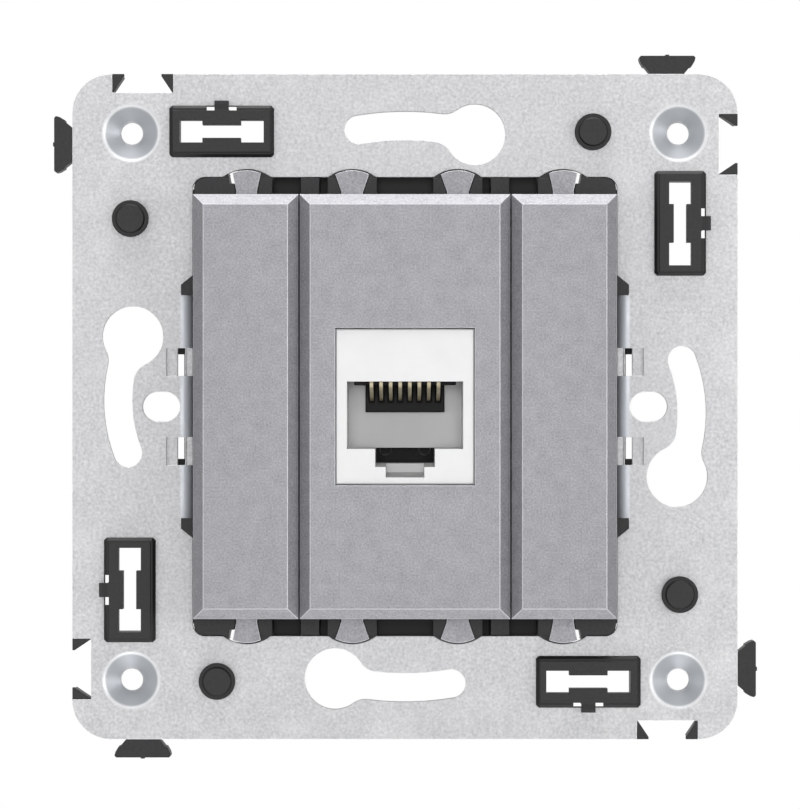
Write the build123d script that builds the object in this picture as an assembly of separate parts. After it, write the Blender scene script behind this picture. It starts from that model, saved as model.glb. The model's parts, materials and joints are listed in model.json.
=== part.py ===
from build123d import *
import math
import os

os.makedirs("parts", exist_ok=True)

# Flush-mounted data socket insert: a steel support plate, two blank modules and one socket module.
# Millimetres. X to the right, Z up, Y into the wall. The origin is the centre of the fixing pattern
# on the plate's rear face, so the plate's front face is at minus its thickness.

# Steel support plate
plate_side = 71.0
plate_thickness = 1.0
plate_corner_radius = 4.2
opening_width = 45.3
opening_height = 49.0
opening_corner_radius = 1.3
module_pitch = 11.25
bump_radius = 4.2
bump_rise = 0.85

# Corner screw holes, each in a formed dish
screw_offset = 29.2
screw_hole_radius = 1.175
screw_dish_radius = 3.1
screw_dish_depth = 1.1
screw_boss_height = 0.8

# Keyhole slots; the web puts them on the 60 mm circle of the wall box's screws
keyhole_web = 2.25
keyhole_slot_width = 3.05
keyhole_head_radius = 3.25
keyhole_tail_angle = 9.5
keyhole_head_angle = 14.4
keyhole_blend_radius = 2.2
keyhole_side_bow = 15.5

# Holes and bearings for the spreading claws
claw_hole_offset = 26.0
claw_hole_length = 4.0
claw_hole_width = 3.14
bearing_near = 3.27
bearing_far = 6.24
bearing_strip_width = 0.8
bearing_slot_width = 0.82
bearing_edge_drop = 0.15
bearing_pocket_width = 1.2
bearing_pocket_depth = 0.25

# Stiffening lips beside the module opening
lip_half_length = 12.05
lip_depth = 4.0
lip_bend_radius = 0.2
lip_relief = 0.2

# Dovetail joints between neighbouring plates
dovetail_offset = 28.0
notch_width = 6.5
notch_depth = 2.0
notch_mouth = 4.0
notch_base = 6.35
notch_lip = 0.25
tail_reach = 1.95
tail_width = 6.0
tail_neck = 3.55
tail_tip_height = 0.45
tail_tip_chamfer = 0.18
tail_step = 0.15
tail_step_reach = 0.8
tail_nub_width = 0.4
tail_nub_height = 0.12

# Corner couplers behind the plate
coupler_thickness = 1.6
coupler_inset = 0.3
coupler_opening_gap = 1.1
coupler_catch_gap = 0.3
coupler_top_edge_end = 23.9
coupler_top_band = 2.8
coupler_foot = 17.7
coupler_screw_clearance = 0.35
coupler_seat_chamfer = 1.7
lining_play = 0.02
stake_far = 29.3
stake_near = 20.05
stake_head_radius = 1.95
stake_head_height = 0.75
stake_shank_width = 2.2
stake_clearance = 0.1

# Catches for the hooks of the decorative frame
catch_along = 19.55
catch_gap = 2.1
catch_flange_length = 11.16
catch_flange_width = 5.5
catch_flange_thickness = 0.7
catch_flange_chamfer = 0.3
catch_panel_length = 10.5
catch_panel_width = 4.46
catch_panel_height = 0.15
catch_body_length = 10.0
catch_body_width = 4.3
catch_body_depth = 5.0
catch_slot_length = 8.98
catch_slot_pad = 2.45
catch_slot_width = 2.4
catch_slot_neck = 1.42
catch_snap_height = 0.3
catch_snap_play = 0.05
catch_snap_depth = 1.0
catch_snap_half_length = 1.5
catch_root = 0.3
catch_window_play = 0.1
catch_tongue_width = 1.5
catch_tongue_reach = 0.5
catch_cavity_front = 0.3
catch_cavity_grow = 0.5
catch_cavity_end_grow = 0.15
catch_slit_width = 0.85
catch_slit_height = 0.42
catch_slit_margin = 0.12

# Module outlines and the levels that they share
module_play = 0.15
seam = 0.15
cover_span_play = 0.4
body_overhang = 0.05
cover_height = 44.7
cover_front = 9.0
cover_foot = 2.0
cover_wall = 1.2
cover_face_thickness = 1.6
cover_bevel = 1.1
lug_front = 1.75
lug_floor = 1.3
flange_play = 0.1
flange_thickness = 1.5
flange_overlap = 0.5
recess_depth = 5.0
lap_width = 0.6
lap_thickness = 0.8
lap_clearance = 0.1
base_front = 0.9
base_thickness = 1.8
skirt_wall = 1.2
blank_skirt_depth = 5.0
module_skirt_depth = 9.0
skirt_inset = 1.0
skirt_side_inset = 0.1
rib_thickness = 1.0
rib_drop = 1.5
rib_root = 0.5
overrun = 1.0

# Lugs that hold the modules in the plate's bumps
lug_width = 5.25
lug_play = 0.05
lip_half_width = 2.6
lip_root = 3.0
tooth_overlap = 0.2
tooth_half_width = 1.9
tooth_depth = 1.2
stem_half_width = 1.5
side_lug_inner = 14.18
post_inner = 9.15

# Fan-shaped tabs of the covers
fan_foot = 2.3
fan_head = 3.6
fan_side_foot = 2.2
fan_side_head = 3.0
fan_thickness = 0.4
fan_gap = 0.12
fan_neck_drop = 1.9
fan_rim = 0.17
fan_root_lap = 0.1
sight_slot_width = 0.45
sight_slot_height = 1.4

# Snap hooks over the plate beside the opening
hook_reach = 1.21
hook_lap = 0.15
hook_thickness = 0.9
hook_length = 2.05
hook_slope = 1.1
hook_root = 1.2
hook_foot = 1.0

# Tabs behind the steel lips
guard_sight = 0.35
guard_end = 0.6
guard_margin = 0.3
lip_clearance = 0.1

# Legs that clip the covers to their carriers
leg_width = 3.0
leg_thickness = 1.0
leg_play = 0.2
leg_tooth = 0.35
leg_offset = 2.6
leg_root = 1.5
leg_end_play = 0.1
leg_tooth_land = 0.3
leg_tip = 1.0

# Jack
jack_face_width = 14.6
jack_face_height = 16.35
jack_face_play = 0.1
jack_side_play = 0.03
jack_edge_chamfer = 0.15
jack_recess = 0.2
jack_body_end = 8.0
port_width = 12.2
port_top = 2.64
port_bottom = -4.44
port_depth = 12.8
port_back_wall = 0.8
latch_width = 6.26
latch_height = 1.6
latch_ledge = 0.3
latch_ledge_depth = 5.0
latch_ledge_ramp = 1.0
key_width = 4.05
key_top = -6.2
key_bottom = -7.45
key_depth = 7.0
key_ramp_start = 5.5
key_ramp_top = -7.0
tool_bite = 0.2
jack_rear_wall = 1.2
snap_arm_width = 7.0
snap_arm_thickness = 0.9
snap_arm_gap = 1.1
snap_arm_front = -6.2
snap_arm_root = 5.5
snap_tooth_height = 1.0
snap_tooth_front = -5.8
snap_tooth_length = 2.3
snap_tooth_land = 0.8
snap_arm_side_gap = 0.5
snap_arm_face_wall = 1.8
snap_window_play = 0.1
collar_wall = 1.2
collar_front = 7.2

# Contacts and their comb
contact_count = 8
contact_pitch = 1.016
contact_width = 0.38
contact_thickness = 0.3
contact_play = 0.045
hairpin_y = -4.5
contact_tip_y = 3.2
contact_tip_z = 0.75
comb_width = 8.4
comb_bottom = -0.55
comb_front = 2.4
comb_slot_width = 0.62
comb_slot_end = 3.7
comb_slot_bottom = 0.42
roof_width = 10.8
roof_thickness = 0.35
carrier_end_play = 0.3
carrier_side_play = 0.1
carrier_back_thickness = 1.5
lead_end = 7.9
lead_gap = 0.05
lead_channel_play = 0.08
channel_front_play = 0.1
comb_window_play = 0.05

# Board, terminals and wire caps
board_side_inset = 0.2
board_end_inset = 0.375
board_thickness = 1.6
terminal_base = 1.6
terminal_row_width = 3.8
terminal_row_height = 8.3
terminal_side_inset = 0.6
terminal_end_inset = 0.2
terminal_row_margin = 2.2
wire_slot_width = 0.9
wire_slot_depth = 6.2
wire_slot_flare = 0.9
blade_thickness = 0.4
blade_width = 2.4
blade_fork = 0.35
blade_fork_depth = 5.0
blade_play = 0.06
blade_drop = 1.2
cap_wall = 0.8
cap_play = 0.12
cap_skirt = 5.4
cap_roof = 1.0
cap_roof_gap = 0.2
cap_notch_width = 1.6
cap_notch_height = 3.4

# Levels and outlines worked out from the sizes above
plate_front = -plate_thickness
plate_half = plate_side / 2
opening_half_width = opening_width / 2
opening_half_height = opening_height / 2
strip_end = opening_half_width + bearing_strip_width
slot_end = strip_end + bearing_slot_width
pocket_end = slot_end + bearing_pocket_width
keyhole_circle_radius = opening_half_height + keyhole_web + keyhole_head_radius
catch_out = opening_half_height + catch_gap + catch_flange_width / 2
coupler_inner_edge = opening_half_height + coupler_opening_gap
bump_centre = opening_half_height + bump_rise - bump_radius
module_half_height = cover_height / 2
module_edge = opening_half_width - module_play
lug_edge = opening_half_height - module_play
cover_span = 4 * module_pitch - cover_span_play
cover_half_span = cover_span / 2
centre_cover_width = cover_span / 2 - seam
blank_cover_width = cover_span / 4 - seam / 2
blank_cover_centre = cover_half_span - blank_cover_width / 2
body_half_width = centre_cover_width / 2 + body_overhang
carrier_inner = body_half_width + seam
jack_front = -(cover_front - jack_recess)
port_end = jack_front + port_depth
roof_bottom = port_top - roof_thickness
hairpin_z = port_top - roof_thickness / 2
hairpin_inner = roof_thickness / 2 + contact_play
hairpin_outer = hairpin_inner + contact_thickness
board_width = jack_face_width - 2 * board_side_inset
board_height = jack_face_height - 2 * board_end_inset
board_front = jack_body_end
board_back = board_front + board_thickness
terminal_foot = board_back + terminal_base
terminal_top = terminal_foot + terminal_row_height
terminal_row_offset = (board_width - terminal_row_width) / 2 - terminal_side_inset
terminal_pitch = (board_height - 2 * terminal_end_inset - 2 * terminal_row_margin) / 3
bump_places = [-1.5 * module_pitch, -0.5 * module_pitch, 0.5 * module_pitch, 1.5 * module_pitch]


def slab(outline, front, back):
    """Solid of an outline drawn in X and Z, between two depths along Y."""
    return extrude(Plane.XZ.offset(-back) * outline, back - front)


def block(x0, x1, y0, y1, z0, z1):
    """Box between six limits."""
    return Pos((x0 + x1) / 2, (y0 + y1) / 2, (z0 + z1) / 2) * Box(x1 - x0, y1 - y0, z1 - z0)


def area(x0, x1, z0, z1):
    """Flat rectangle between four limits in X and Z."""
    return Pos((x0 + x1) / 2, (z0 + z1) / 2) * Rectangle(x1 - x0, z1 - z0)


def profile_x(points, x0, x1):
    """Solid of an outline drawn in Y and Z, between two places along X."""
    return extrude(Plane.YZ.offset(x0) * make_face(Polyline(points, close=True)), x1 - x0)


def mirrored(solid):
    """Copy on the other side, left for right."""
    return mirror(solid, Plane.YZ)


def upside_down(solid):
    """Copy turned top to bottom."""
    return mirror(solid, Plane.XY)


def four_ways(solid):
    """The solid and its copies on the other three sides of the centre."""
    return [solid, mirrored(solid), upside_down(solid), mirrored(upside_down(solid))]


def joined(pieces):
    """One solid of several that meet."""
    whole = pieces[0]
    for piece in pieces[1:]:
        whole = whole + piece
    return whole


def quarter_turns(outline):
    """The outline repeated at the four sides of the plate."""
    return [Rot(0, 0, -90 * turn) * outline for turn in range(4)]


def write(solid, name):
    """Write one named piece."""
    export_step(solid, "parts/" + name + ".step")


# Support plate

def keyhole_outline(bow):
    """Keyhole above the opening: its ends are on the screw circle, and its slot is bowed by a radius."""
    head = Vector(0, keyhole_circle_radius, 0).rotate(Axis.Z, -keyhole_head_angle)
    tail = Vector(0, keyhole_circle_radius, 0).rotate(Axis.Z, keyhole_tail_angle)
    outline = SlotArc(RadiusArc(tail, head, bow), keyhole_slot_width)
    outline += Pos(*head) * Circle(keyhole_head_radius)
    necks = [v for v in outline.vertices() if abs((Vector(*v) - head).length - keyhole_head_radius) < 0.001]
    return fillet(necks, keyhole_blend_radius)


def catch_window():
    """Hole in the plate for one catch, with room for the slits beside its tongue."""
    play = catch_window_play
    body = Rectangle(catch_body_length + 2 * play, catch_body_width + 2 * play)
    slit_top = catch_flange_width / 2 - catch_slit_margin + play
    slit_half = catch_tongue_width / 2 + catch_slit_width + play
    return Pos(-catch_along, catch_out) * (body + area(-slit_half, slit_half, 0, slit_top))


def opening_outline():
    outline = RectangleRounded(opening_width, opening_height, opening_corner_radius)
    for x in bump_places:
        outline += Pos(x, bump_centre) * Circle(bump_radius)
        outline += Pos(x, -bump_centre) * Circle(bump_radius)
    return outline


def screw_dish():
    """Formed dish of a corner screw hole, as a ring of pressed sheet."""
    section = make_face(
        Polyline(
            (screw_dish_radius, 0),
            (screw_dish_radius, plate_front),
            (screw_hole_radius, plate_front + screw_dish_depth),
            (screw_hole_radius, screw_boss_height),
            close=True,
        )
    )
    return revolve(section, Axis.Y)


def side_lip():
    """Lip bent back from the right edge of the opening."""
    bend_x = opening_half_width + plate_thickness + lip_bend_radius
    outer = plate_thickness + lip_bend_radius
    quarter = (Circle(outer) - Circle(lip_bend_radius)) & area(-outer, 0, -outer, 0)
    straight = area(-outer, -lip_bend_radius, 0, lip_depth - lip_bend_radius)
    section = Pos(bend_x, lip_bend_radius) * (quarter + straight)
    return extrude(Plane.XY.offset(-lip_half_length) * section, 2 * lip_half_length)


def support_frame():
    sheet = RectangleRounded(plate_side, plate_side, plate_corner_radius) - opening_outline()
    notch_centre = plate_half - notch_depth / 2
    notch = Pos(-dovetail_offset, notch_centre) * Rectangle(notch_width, notch_depth)
    stake_hole_width = stake_shank_width + 2 * stake_clearance
    stake_hole = Pos(-stake_far, stake_near) * Rectangle(stake_hole_width, stake_hole_width)
    screw_seat = Pos(-screw_offset, screw_offset) * Circle(screw_dish_radius)
    for feature in [notch, stake_hole, screw_seat, catch_window()]:
        for cut in quarter_turns(feature):
            sheet -= cut
    end_keyholes = quarter_turns(keyhole_outline(keyhole_circle_radius))[0::2]
    side_keyholes = quarter_turns(keyhole_outline(keyhole_side_bow))[1::2]
    for cut in end_keyholes + side_keyholes:
        sheet -= cut
    lip_edge = opening_half_width + plate_thickness + lip_bend_radius
    seat_end = lip_half_length + lip_relief
    lip_seat = area(opening_half_width - overrun, lip_edge, -seat_end, seat_end)
    for side in [-1, 1]:
        sheet -= Pos(side * claw_hole_offset, 0) * SlotOverall(claw_hole_length, claw_hole_width)
        sheet -= lip_seat if side > 0 else mirror(lip_seat, Plane.YZ)
    plate = slab(sheet, plate_front, 0)
    for turn in range(4):
        plate += Rot(0, 90 * turn, 0) * (Pos(-screw_offset, 0, screw_offset) * screw_dish())
    lip = side_lip()
    plate += lip + mirrored(lip)
    edge_front = plate_front + bearing_edge_drop
    dent_front = plate_front + bearing_pocket_depth
    strip = block(opening_half_width, strip_end, edge_front, lip_bend_radius, bearing_near, bearing_far)
    slot = block(strip_end, slot_end, 2 * plate_front, lip_depth, bearing_near, bearing_far)
    bulge = block(slot_end, pocket_end, 0, bearing_pocket_depth, bearing_near, bearing_far)
    dent = block(slot_end, pocket_end, 2 * plate_front, dent_front, bearing_near, bearing_far)
    for solid in four_ways(strip) + four_ways(bulge):
        plate += solid
    for solid in four_ways(slot) + four_ways(dent):
        plate -= solid
    return plate


# Corner couplers

def tail_outline():
    """Male dovetail, pointing along plus Y of the drawing, with its neck at the plate's edge."""
    tip = tail_reach - tail_tip_height
    half_neck = tail_neck / 2
    half_tip = tail_width / 2
    step_half = half_neck + (half_tip - half_neck) * tail_step_reach / tip
    right = [
        (half_neck, 0),
        (step_half, tail_step_reach),
        (step_half + tail_step, tail_step_reach),
        (half_tip, tip),
        (half_tip, tail_reach),
        (tail_nub_width / 2, tail_reach),
        (tail_nub_width / 2, tail_reach + tail_nub_height),
    ]
    left = [(-x, y) for x, y in reversed(right)]
    outline = make_face(Polyline(right + left, close=True))
    tips = [v for v in outline.vertices() if abs(abs(v.X) - half_tip) < 0.001]
    return chamfer(tips, tail_tip_chamfer)


def corner_coupler():
    """Coupler of the top left corner."""
    inner = plate_half - coupler_inset
    base = area(-inner, -coupler_inner_edge, coupler_foot, inner)
    base += area(-inner, -coupler_top_edge_end, inner - coupler_top_band + coupler_inset, inner)
    corner = base.vertices().sort_by(lambda vertex: vertex.Y - vertex.X)[-1]
    base = chamfer(corner, plate_corner_radius - coupler_inset)
    clear = screw_dish_radius + coupler_screw_clearance
    open_edge = -coupler_inner_edge + overrun
    seat = area(-screw_offset - clear, open_edge, screw_offset - clear, screw_offset + clear)
    base -= chamfer(seat.vertices().group_by(Axis.X)[0], coupler_seat_chamfer)
    gap = coupler_catch_gap
    base -= Pos(-catch_along, catch_out) * Rectangle(catch_body_length + 2 * gap, catch_body_width + 2 * gap)
    mouth = make_face(
        Polyline(
            (-notch_mouth / 2, coupler_inset),
            (notch_mouth / 2, coupler_inset),
            (notch_mouth / 2, -notch_lip),
            (notch_base / 2, -notch_depth),
            (-notch_base / 2, -notch_depth),
            (-notch_mouth / 2, -notch_lip),
            close=True,
        )
    )
    mouth = Pos(-dovetail_offset, plate_half) * mouth
    tail = Pos(-plate_half, dovetail_offset) * (Rot(0, 0, 90) * tail_outline())
    neck = area(-plate_half, -inner, dovetail_offset - tail_neck / 2, dovetail_offset + tail_neck / 2)
    body = slab(base + neck - mouth, 0, coupler_thickness) + slab(tail, plate_front, coupler_thickness)
    lining_half = notch_width / 2 - lining_play
    lining = area(-lining_half, lining_half, lining_play - notch_depth, 0)
    lining = Pos(-dovetail_offset, plate_half) * lining - mouth
    body += slab(lining, plate_front, 0)
    stake = Pos(-stake_far, stake_near)
    shank = slab(stake * Rectangle(stake_shank_width, stake_shank_width), plate_front, 0)
    head = slab(stake * Circle(stake_head_radius), plate_front - stake_head_height, plate_front)
    return body + shank + head


# Catches

def frame_catch():
    """Catch of the top left side, drawn about its own centre."""
    flange = Rectangle(catch_flange_length, catch_flange_width)
    flange = chamfer(flange.vertices(), catch_flange_chamfer)
    flange_front = plate_front - catch_flange_thickness
    front = slab(flange, flange_front, plate_front)
    front = chamfer(front.edges().group_by(Axis.Y)[0], catch_flange_chamfer)
    panel = slab(
        Rectangle(catch_panel_length, catch_panel_width), flange_front - catch_panel_height, flange_front
    )
    sleeve = slab(Rectangle(catch_body_length, catch_body_width), plate_front, catch_body_depth)
    side = catch_body_width / 2
    snap_points = [
        (catch_snap_play, side - catch_root),
        (catch_snap_play, side),
        (catch_snap_play + catch_snap_height, side + catch_snap_height),
        (catch_snap_play + catch_snap_depth, side),
        (catch_snap_play + catch_snap_depth, side - catch_root),
    ]
    snap = profile_x(snap_points, -catch_snap_half_length, catch_snap_half_length)
    catch = joined([front, panel, sleeve, snap, upside_down(snap)])
    pad = catch_slot_length / 2 - catch_slot_pad
    hollow = Rectangle(catch_slot_length, catch_slot_neck)
    hollow += area(pad, catch_slot_length / 2, -catch_slot_width / 2, catch_slot_width / 2)
    hollow += area(-catch_slot_length / 2, -pad, -catch_slot_width / 2, catch_slot_width / 2)
    slit_top = catch_flange_width / 2 - catch_slit_margin
    slit = Rectangle(catch_slit_width, catch_slit_height)
    for side in [-1, 1]:
        middle = side * (catch_tongue_width + catch_slit_width) / 2
        hollow += Pos(middle, slit_top - catch_slit_height / 2) * slit
    catch -= slab(hollow, -cover_front, catch_body_depth + overrun)
    cavity_length = catch_slot_length + 2 * catch_cavity_end_grow
    cavity = Rectangle(cavity_length, catch_slot_width + 2 * catch_cavity_grow)
    catch -= slab(cavity, catch_cavity_front, catch_body_depth + overrun)
    tongue_top = catch_flange_width / 2 + catch_tongue_reach
    tongue_half = catch_tongue_width / 2
    tongue = area(-tongue_half, tongue_half, catch_slot_width / 2 + catch_root, tongue_top)
    return catch + slab(tongue, flange_front - catch_panel_height, plate_front)


# Lugs, tabs and hooks of the modules, drawn at the top edge

def bump_disc(x, radius):
    return Pos(x, bump_centre) * Circle(radius)


def fan_outline(x, foot, head, grow):
    """Fan-shaped outline of a cover's tab, or of its recess when grown."""
    rim = bump_radius - fan_rim + grow
    top = bump_centre + bump_radius + 1
    head_level = bump_centre + math.sqrt(rim**2 - (head / 2) ** 2)
    waist_level = head_level - fan_neck_drop
    fan = Polyline(
        (x - foot / 2 - grow, module_half_height - cover_wall),
        (x - foot / 2 - grow, waist_level),
        (x - head / 2 - grow, head_level),
        (x - head / 2 - grow, top),
        (x + head / 2 + grow, top),
        (x + head / 2 + grow, head_level),
        (x + foot / 2 + grow, waist_level),
        (x + foot / 2 + grow, module_half_height - cover_wall),
        close=True,
    )
    return make_face(fan) & bump_disc(x, rim)


def fan_tab(x, foot, head):
    """Cover's tab, with the stretch of wall that carries it."""
    tab = slab(fan_outline(x, foot, head, 0), -lug_floor - fan_thickness, -lug_floor)
    wall = module_half_height - cover_wall
    root = block(x - foot / 2, x + foot / 2, -cover_foot - fan_root_lap, -lug_floor, wall, module_half_height)
    return tab + root


def lug(x, low, high, foot, head):
    """Lug between two places along X, held before and behind the plate's bump."""
    foot_level = module_half_height - lip_root
    passing = block(low, high, -lug_front, flange_play, foot_level, lug_edge)
    window = area(x - lip_half_width, x + lip_half_width, module_half_height, plate_half)
    front_lip = slab(bump_disc(x, bump_radius - lug_play) & window, -lug_floor, plate_front)
    back = flange_play + tooth_depth
    stem_top = bump_centre + math.sqrt((bump_radius - lug_play) ** 2 - stem_half_width**2)
    stem = block(x - stem_half_width, x + stem_half_width, -lug_floor, back, foot_level, stem_top)
    tooth_top = opening_half_height + bump_rise + tooth_overlap
    tooth = block(x - tooth_half_width, x + tooth_half_width, flange_play, back, foot_level, tooth_top)
    solid = joined([passing, front_lip, stem, tooth])
    return solid - slab(fan_outline(x, foot, head, fan_gap), -lug_front - overrun, -lug_floor)


def lug_limit():
    """Area that a side lug keeps to, so that it passes the rounded corner of the opening."""
    limit = RectangleRounded(2 * module_edge, 2 * lug_edge, opening_corner_radius - module_play)
    x = 1.5 * module_pitch
    return limit + area(x - lip_half_width, x + lip_half_width, 0, plate_half)


def end_flange(low, high, lugs):
    """Wall of a carrier behind the top edge of the opening, brought forward to the plate at the lugs."""
    top = opening_half_height + flange_overlap
    foot = module_half_height - lip_root
    deep = flange_play + recess_depth
    solid = block(low, high, deep, deep + flange_thickness, foot, top)
    for lug_low, lug_high in lugs:
        solid += block(lug_low, lug_high, flange_play, deep + flange_thickness, foot, top)
    return solid


def side_flange():
    """Strip of the right carrier behind the side edge of the opening, above the lip."""
    low = lip_half_length + lip_relief + lip_clearance
    high = opening_half_height - opening_corner_radius
    back = flange_play + flange_thickness
    return block(module_edge - hook_root, module_edge + flange_overlap, flange_play, back, low, high)


def side_hook():
    """Hook of the right carrier above the lip, over the front of the plate."""
    edge = module_edge
    reach = opening_half_width + hook_reach
    low = lip_half_length - hook_lap
    high = lip_half_length + hook_length
    outline = make_face(
        Polyline(
            (edge - hook_root, low),
            (reach, low),
            (reach, high - hook_slope),
            (edge, high),
            (edge - hook_root, high),
            close=True,
        )
    )
    return slab(outline, plate_front - hook_thickness, plate_front)


def lip_guard():
    """Tab of the right carrier that catches behind the steel lip, seen through the bearing's slot."""
    front = lip_depth + flange_play
    root = module_edge - hook_root
    strip_foot = bearing_near - guard_margin
    strip = block(root, strip_end + guard_sight, front, blank_skirt_depth, strip_foot, bearing_far)
    end_foot = bearing_far - guard_end
    end_top = bearing_far + guard_margin
    return strip + block(root, slot_end + guard_margin, front, blank_skirt_depth, end_foot, end_top)


def leg_places(half_width):
    """Places of the four clip legs of a cover, about the module's centre."""
    x = half_width - leg_offset
    z = module_half_height - cover_wall - leg_thickness / 2
    return [(-x, -z), (-x, z), (x, -z), (x, z)]


def cover_legs(centre, half_width):
    """Clip legs that run from a cover's end walls through its carrier."""
    legs = []
    half = leg_thickness / 2
    reach = base_thickness - base_front + leg_end_play
    tooth_outline = [
        (reach, 0),
        (reach, half + leg_tooth),
        (reach + leg_tooth_land, half + leg_tooth),
        (reach + leg_tip, half),
        (reach + leg_tip, 0),
    ]
    for x, z in leg_places(half_width):
        left = centre + x - leg_width / 2
        leg = block(left, left + leg_width, -cover_foot - leg_root, reach + leg_tip, z - half, z + half)
        tooth = profile_x(tooth_outline, -leg_width / 2, leg_width / 2)
        if z > 0:
            tooth = upside_down(tooth)
        legs.append(leg + Pos(centre + x, 0, z) * tooth)
    return legs


def leg_holes(centre, half_width):
    """Holes in a carrier for the clip legs of its cover."""
    holes = []
    grow = 2 * leg_play
    for x, z in leg_places(half_width):
        inward = -1 if z > 0 else 1
        hole = Box(leg_width + grow, 4 * base_thickness, leg_thickness + grow + leg_tooth)
        holes.append(Pos(centre + x, 0, z + inward * leg_tooth / 2) * hole)
    return holes


# Covers

def cover_shell(centre, width):
    """Bevelled cap with open back."""
    half = width / 2
    end = module_half_height
    outer = block(centre - half, centre + half, -cover_front, -cover_foot, -end, end)
    outer = chamfer(outer.edges().group_by(Axis.Y)[0], cover_bevel)
    inner_half = half - cover_wall
    inner_end = end - cover_wall
    face_back = -cover_front + cover_face_thickness
    return outer - block(centre - inner_half, centre + inner_half, face_back, 0, -inner_end, inner_end)


def blank_cover():
    """Cover of the right blank module."""
    tab = fan_tab(1.5 * module_pitch, fan_side_foot, fan_side_head)
    pieces = [cover_shell(blank_cover_centre, blank_cover_width), tab, upside_down(tab)]
    return joined(pieces + cover_legs(blank_cover_centre, blank_cover_width / 2))


def module_cover():
    """Cover of the socket module, with the square hole for the jack."""
    tab = fan_tab(0.5 * module_pitch, fan_foot, fan_head)
    pieces = [cover_shell(0, centre_cover_width)] + four_ways(tab)
    solid = joined(pieces + cover_legs(0, centre_cover_width / 2))
    hole_x = jack_face_width / 2 + jack_side_play
    hole_z = jack_face_height / 2 + jack_face_play
    return solid - block(-hole_x, hole_x, -cover_front, 0, -hole_z, hole_z)


# Carriers

def skirt_walls(low, high, depth):
    """Four walls of a carrier behind the plate, between two places along X."""
    end = module_half_height - skirt_inset
    walls = area(low, high, -end, end)
    walls -= area(low + skirt_wall, high - skirt_wall, -end + skirt_wall, end - skirt_wall)
    return slab(walls, 0, depth)


def sight_slot():
    """Narrow slot beside the fan tab of the right module, through which the wall shows."""
    outline = fan_outline(1.5 * module_pitch + sight_slot_width, fan_side_foot, fan_side_head, fan_gap)
    top = bump_centre + bump_radius
    window = area(1.5 * module_pitch, module_edge, top - sight_slot_height - fan_rim, top)
    return slab(outline & window, -cover_front, cover_front)


def blank_carrier():
    """Carrier of the right blank module."""
    plate = block(carrier_inner, module_edge, -base_front, base_thickness - base_front,
                  -module_half_height, module_half_height)
    flange = end_flange(carrier_inner, module_edge, [(side_lug_inner, module_edge)])
    top_lug = lug(1.5 * module_pitch, side_lug_inner, module_edge, fan_side_foot, fan_side_head)
    top_lug = top_lug & slab(lug_limit(), -cover_front, cover_front)
    end = flange + top_lug - sight_slot()
    skirt = skirt_walls(carrier_inner + skirt_side_inset, module_edge - skirt_side_inset, blank_skirt_depth)
    rib = block(carrier_inner + rib_root, module_edge - rib_root, 0, blank_skirt_depth - rib_drop,
                -rib_thickness / 2, rib_thickness / 2)
    ribs = [Pos(0, 0, place * cover_height / 5) * rib for place in [-1, 0, 1]]
    hook = side_hook()
    post = block(module_edge - hook_root, module_edge, -base_front - hook_foot, 0, lip_half_length,
                 lip_half_length + hook_length)
    upper = joined([end, hook, post, side_flange(), lip_guard()])
    solid = joined([plate, skirt, upper, upside_down(upper)] + ribs)
    for hole in leg_holes(blank_cover_centre, blank_cover_width / 2):
        solid -= hole
    return solid


def module_body():
    """Carrier of the socket module, with the collar that holds the jack."""
    half = body_half_width
    end_level = module_half_height
    plate = block(-half, half, -base_front, base_thickness - base_front, -end_level, end_level)
    place = 0.5 * module_pitch
    lug_half = lug_width / 2
    lug_spans = [(place - lug_half, place + lug_half), (-place - lug_half, -place + lug_half)]
    flange = end_flange(-half, half, lug_spans + [(post_inner, half), (-half, -post_inner)])
    lap_front = 2 * flange_play + recess_depth + flange_thickness
    top = opening_half_height + flange_overlap
    foot = module_half_height - skirt_inset + lap_clearance
    lap = block(-half - lap_width, half + lap_width, lap_front, lap_front + lap_thickness, foot, top)
    lap += block(-half, half, lap_front - flange_thickness, lap_front + lap_thickness, foot, top)
    top_lug = lug(place, place - lug_width / 2, place + lug_width / 2, fan_foot, fan_head)
    post = block(post_inner, half, -lug_floor, flange_play, module_half_height - 1, lug_edge)
    end = joined([flange, lap, top_lug, mirrored(top_lug), post, mirrored(post)])
    skirt = skirt_walls(-half + skirt_side_inset, half - skirt_side_inset, module_skirt_depth)
    inner_x = jack_face_width / 2 + jack_face_play
    inner_z = jack_face_height / 2 + jack_face_play
    outer_x = inner_x + collar_wall
    outer_z = inner_z + collar_wall
    collar = block(-outer_x, outer_x, -collar_front, module_skirt_depth, -outer_z, outer_z)
    rib_back = module_skirt_depth - rib_drop
    across = jack_face_width / 4
    upright = block(across - rib_thickness / 2, across + rib_thickness / 2, 0, rib_back, outer_z - rib_root,
                    module_half_height - skirt_inset - rib_root)
    up = jack_face_height / 3
    level = block(outer_x - rib_root, half - rib_root, 0, rib_back, -rib_thickness / 2, rib_thickness / 2)
    level = Pos(0, 0, up) * level
    ribs = four_ways(upright) + four_ways(level)
    solid = joined([plate, end, upside_down(end), skirt, collar] + ribs)
    solid -= block(-inner_x, inner_x, -cover_front, module_skirt_depth, -inner_z, inner_z)
    window_half = snap_arm_width / 2 + snap_window_play
    window_front = snap_tooth_front - snap_window_play
    window_back = snap_tooth_front + snap_tooth_length + snap_window_play
    solid -= block(-window_half, window_half, window_front, window_back, -outer_z, outer_z)
    for hole in leg_holes(0, centre_cover_width / 2):
        solid -= hole
    return solid


# Jack

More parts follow.
